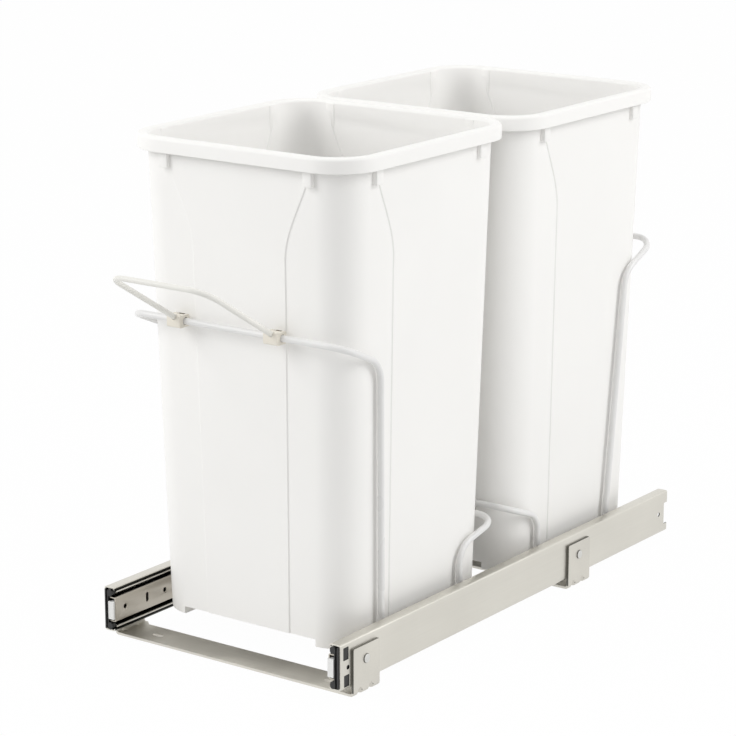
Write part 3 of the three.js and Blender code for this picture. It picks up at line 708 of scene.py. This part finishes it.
# %% Helper: one ring round a bin
RIM_X, RIM_Y, RIM_TOP = 127, 130.5, 468.5
SKIRT, SKIRT_PROUD, WALL = 13.5, 8.5, 2.2
SKIRT_Z = RIM_TOP - SKIRT
DRAFT, CORNER, STEP = 0.0235, 34.5, 1.0
FOOT_Z, EDGE_Z, FLOOR_Z, FOOT = 25, 32.3, 35, 33.5
CORNER_STEPS = 14
PANEL_HALF, PANEL_WIDENS, PANEL_WIDENS_OVER = 46, 4.5, 325
FLARE_Z, FLARE_RUN, FLARE_OUT = 372, 73, 25.5  # the shoulder, where the panel flares out
FLARE_STEPS = 16
PANEL_EDGE = 1.1  # over which the panel steps down to the corner
BIN_CREASE = 30  # degrees


def panel_half(z):
    """Half-width of the raised panel: nearly straight, then a shoulder out to the corners."""
    straight = PANEL_HALF + PANEL_WIDENS * min(max(z - FOOT_Z, 0) / PANEL_WIDENS_OVER, 1)
    t = min(max((z - FLARE_Z) / FLARE_RUN, 0), 1)
    return straight + FLARE_OUT * t * t * (1.9 - 0.9 * t)


def bin_ring(z, inset, step, centre_y):
    lean = DRAFT * (SKIRT_Z - min(z, SKIRT_Z))
    half_x = RIM_X - SKIRT_PROUD - lean - inset
    half_y = RIM_Y - SKIRT_PROUD - lean - inset
    radius = CORNER - inset
    panel = panel_half(z)
    quarter = [(half_x, panel), (half_x - step / 2, panel + PANEL_EDGE / 2),
               (half_x - step, panel + PANEL_EDGE)]
    for k in range(CORNER_STEPS + 1):
        angle = k / CORNER_STEPS * math.pi / 2
        quarter.append((half_x - radius + (radius - step) * math.cos(angle),
                        half_y - radius + (radius - step) * math.sin(angle)))
    quarter += [(panel + PANEL_EDGE, half_y - step),
                (panel + PANEL_EDGE / 2, half_y - step / 2), (panel, half_y)]
    ring = []
    for sign_x, sign_y in ((1, 1), (-1, 1), (-1, -1), (1, -1)):
        part = [(sign_x * x, sign_y * y) for x, y in quarter]
        ring += part if sign_x == sign_y else part[::-1]
    return [at_mm(x, centre_y + y, z) for x, y in ring]


# %% Helper: the section of the moulding, from the base's edge round to the inside floor
RIM_ROUND, MOUTH_ROUND, FLOOR_ROUND = 3, 3.4, 7  # radii of the rim's edges and the inside floor
RIM_STEPS, FLOOR_STEPS = 6, 5


def quarter_turn(steps):
    return [k / steps * math.pi / 2 for k in range(steps + 1)]


def bin_section():
    """Rows of height, inset from the side and depth of the step at the panel's edge."""
    levels = [60, 120, 180, 240, 300, 340, FLARE_Z]
    levels += [FLARE_Z + FLARE_RUN * k / FLARE_STEPS for k in range(1, FLARE_STEPS + 1)]
    outside = [(z, 0, STEP) for z in levels]
    inside = [(z, WALL, STEP) for z in reversed(levels)]
    under = RIM_TOP - WALL - 0.3
    top = [(RIM_TOP - RIM_ROUND + RIM_ROUND * math.sin(a),
            -SKIRT_PROUD + RIM_ROUND - RIM_ROUND * math.cos(a), 0)
           for a in quarter_turn(RIM_STEPS)]
    top += [(RIM_TOP - RIM_ROUND + RIM_ROUND * math.cos(a),
             WALL - MOUTH_ROUND + MOUTH_ROUND * math.sin(a), 0)
            for a in quarter_turn(RIM_STEPS)]
    bottom = [(FLOOR_Z + WALL + FLOOR_ROUND * (1 - math.sin(a)),
               WALL + FLOOR_ROUND * (1 - math.cos(a)), STEP * math.cos(a))
              for a in quarter_turn(FLOOR_STEPS)]
    return (
        [(FOOT_Z, 1.5, STEP), (FOOT_Z + 0.5, 0.4, STEP), (FOOT_Z + 1.6, 0, STEP)]
        + outside
        + [(SKIRT_Z, 0, STEP), (under - 1.5, 0, 0), (under, -0.8, 0),
           (under, -SKIRT_PROUD + WALL + 0.8, 0), (under - 0.8, -SKIRT_PROUD + WALL, 0),
           (SKIRT_Z + 0.3, -SKIRT_PROUD + WALL, 0), (SKIRT_Z, -SKIRT_PROUD + WALL - 0.3, 0),
           (SKIRT_Z, -SKIRT_PROUD + 0.4, 0), (SKIRT_Z + 0.4, -SKIRT_PROUD, 0)]
        + top
        + [(SKIRT_Z, WALL, STEP)]
        + inside
        + bottom
    )


# %% Helper: the small ribs under the skirt
RIB_REACH, RIB_WIDTH, RIB_SUNK = 4.6, 9.5, 1.8
RIB_LOW, RIB_HIGH = 441, RIM_TOP - 2
RIB_EDGE = 0.9  # radius of its edges
RIB_ALONG = 79  # from the middle of each side


def add_rib(bm, centre_y, turn, along):
    out = (RIM_Y if turn % 180 else RIM_X) - SKIRT_PROUD - STEP
    block = bmesh.ops.create_cube(bm, size=1)["verts"]
    bmesh.ops.scale(
        bm, verts=block,
        vec=((RIB_REACH + RIB_SUNK) * MM, RIB_WIDTH * MM, (RIB_HIGH - RIB_LOW) * MM))
    bmesh.ops.translate(
        bm, verts=block,
        vec=((out + (RIB_REACH - RIB_SUNK) / 2) * MM, along * MM,
             (RIB_LOW + RIB_HIGH) / 2 * MM))
    edges = list({e for v in block for e in v.link_edges})
    beveled = bmesh.ops.bevel(
        bm, geom=edges, offset=RIB_EDGE * MM, affect="EDGES", segments=3, profile=0.5,
        material=-1)
    verts = list({v for f in beveled["faces"] for v in f.verts})
    bmesh.ops.rotate(
        bm, verts=verts, cent=(0, 0, 0), matrix=Matrix.Rotation(math.radians(turn), 3, "Z"))
    bmesh.ops.translate(bm, verts=verts, vec=at_mm(0, centre_y, 0))


# %% Helper: cut the underside between the feet
PAST_SIDE, FOOT_WALL = 5, 8.7  # the cuts run past the sides, or stop short of them
PAST_FOOT = 4  # and start below the feet


def cutter_block(half_x, half_y, low, high, centre_y):
    bm = bmesh.new()
    cube = bmesh.ops.create_cube(bm, size=1)["verts"]
    bmesh.ops.scale(bm, verts=cube, vec=(2 * half_x * MM, 2 * half_y * MM, (high - low) * MM))
    bmesh.ops.translate(bm, verts=cube, vec=at_mm(0, centre_y, (low + high) / 2))
    return bm


def cut_feet(piece, centre_y):
    lean = DRAFT * (SKIRT_Z - FOOT_Z)
    foot_x = RIM_X - SKIRT_PROUD - lean
    foot_y = RIM_Y - SKIRT_PROUD - lean
    for inset, top in ((-PAST_SIDE, EDGE_Z), (FOOT_WALL, FLOOR_Z)):
        for half_x, half_y in ((foot_x - FOOT, foot_y - inset), (foot_x - inset, foot_y - FOOT)):
            cut_away(piece, cutter_block(half_x, half_y, FOOT_Z - PAST_FOOT, top, centre_y))


# %% Helper: extrude a ring to its next place
def edges_round(bm, ring):
    return [bm.edges.get((ring[i - 1], ring[i])) for i in range(len(ring))]


def grow_ring(bm, ring, places):
    made = bmesh.ops.extrude_edge_only(bm, edges=edges_round(bm, ring))["geom"]
    fresh = {v for v in made if isinstance(v, bmesh.types.BMVert)}
    following = []
    for vert, place in zip(ring, places):
        new = next(e.other_vert(vert) for e in vert.link_edges if e.other_vert(vert) in fresh)
        new.co = place
        following.append(new)
    return following


# %% Bins
BIN_CENTRES = (("front_bin", 153.9), ("rear_bin", 418))


def make_bin(name, centre_y, node):
    bm = bmesh.new()
    first, *others = [bin_ring(*section, centre_y) for section in bin_section()]
    ring = [bm.verts.new(place) for place in first]
    for i in range(len(ring)):
        bm.edges.new((ring[i - 1], ring[i]))
    base = edges_round(bm, ring)
    for places in others:
        ring = grow_ring(bm, ring, places)
    bmesh.ops.contextual_create(bm, geom=base)
    bmesh.ops.contextual_create(bm, geom=edges_round(bm, ring))
    piece = make_piece(bm, name, node, sharp=BIN_CREASE)
    cut_feet(piece, centre_y)
    ribs = bmesh.new()
    ribs.from_mesh(piece.data)
    for turn in (0, 90, 180, 270):
        for along in (-RIB_ALONG, RIB_ALONG):
            add_rib(ribs, centre_y, turn, along)
    ribs.to_mesh(piece.data)
    ribs.free()
    middle_y = centre_y - FRONT_PLATE_Y

    def on_inside(middle, normal):
        inward = middle.x * normal.x + (middle.y - middle_y) * normal.y < 0
        return inward and abs(normal.z) < 0.5 and middle.z > FLOOR_Z + WALL

    # painted light: the inside walls a shade lighter
    paint(piece, BIN_INSIDE_PAINTED_LIGHT, on_inside)
    smooth(piece.data, BIN_CREASE)
    return piece


for node, centre_y in BIN_CENTRES:
    made = make_bin(node + "_moulding", centre_y, node)
    print(made.name, len(made.data.polygons), "faces")
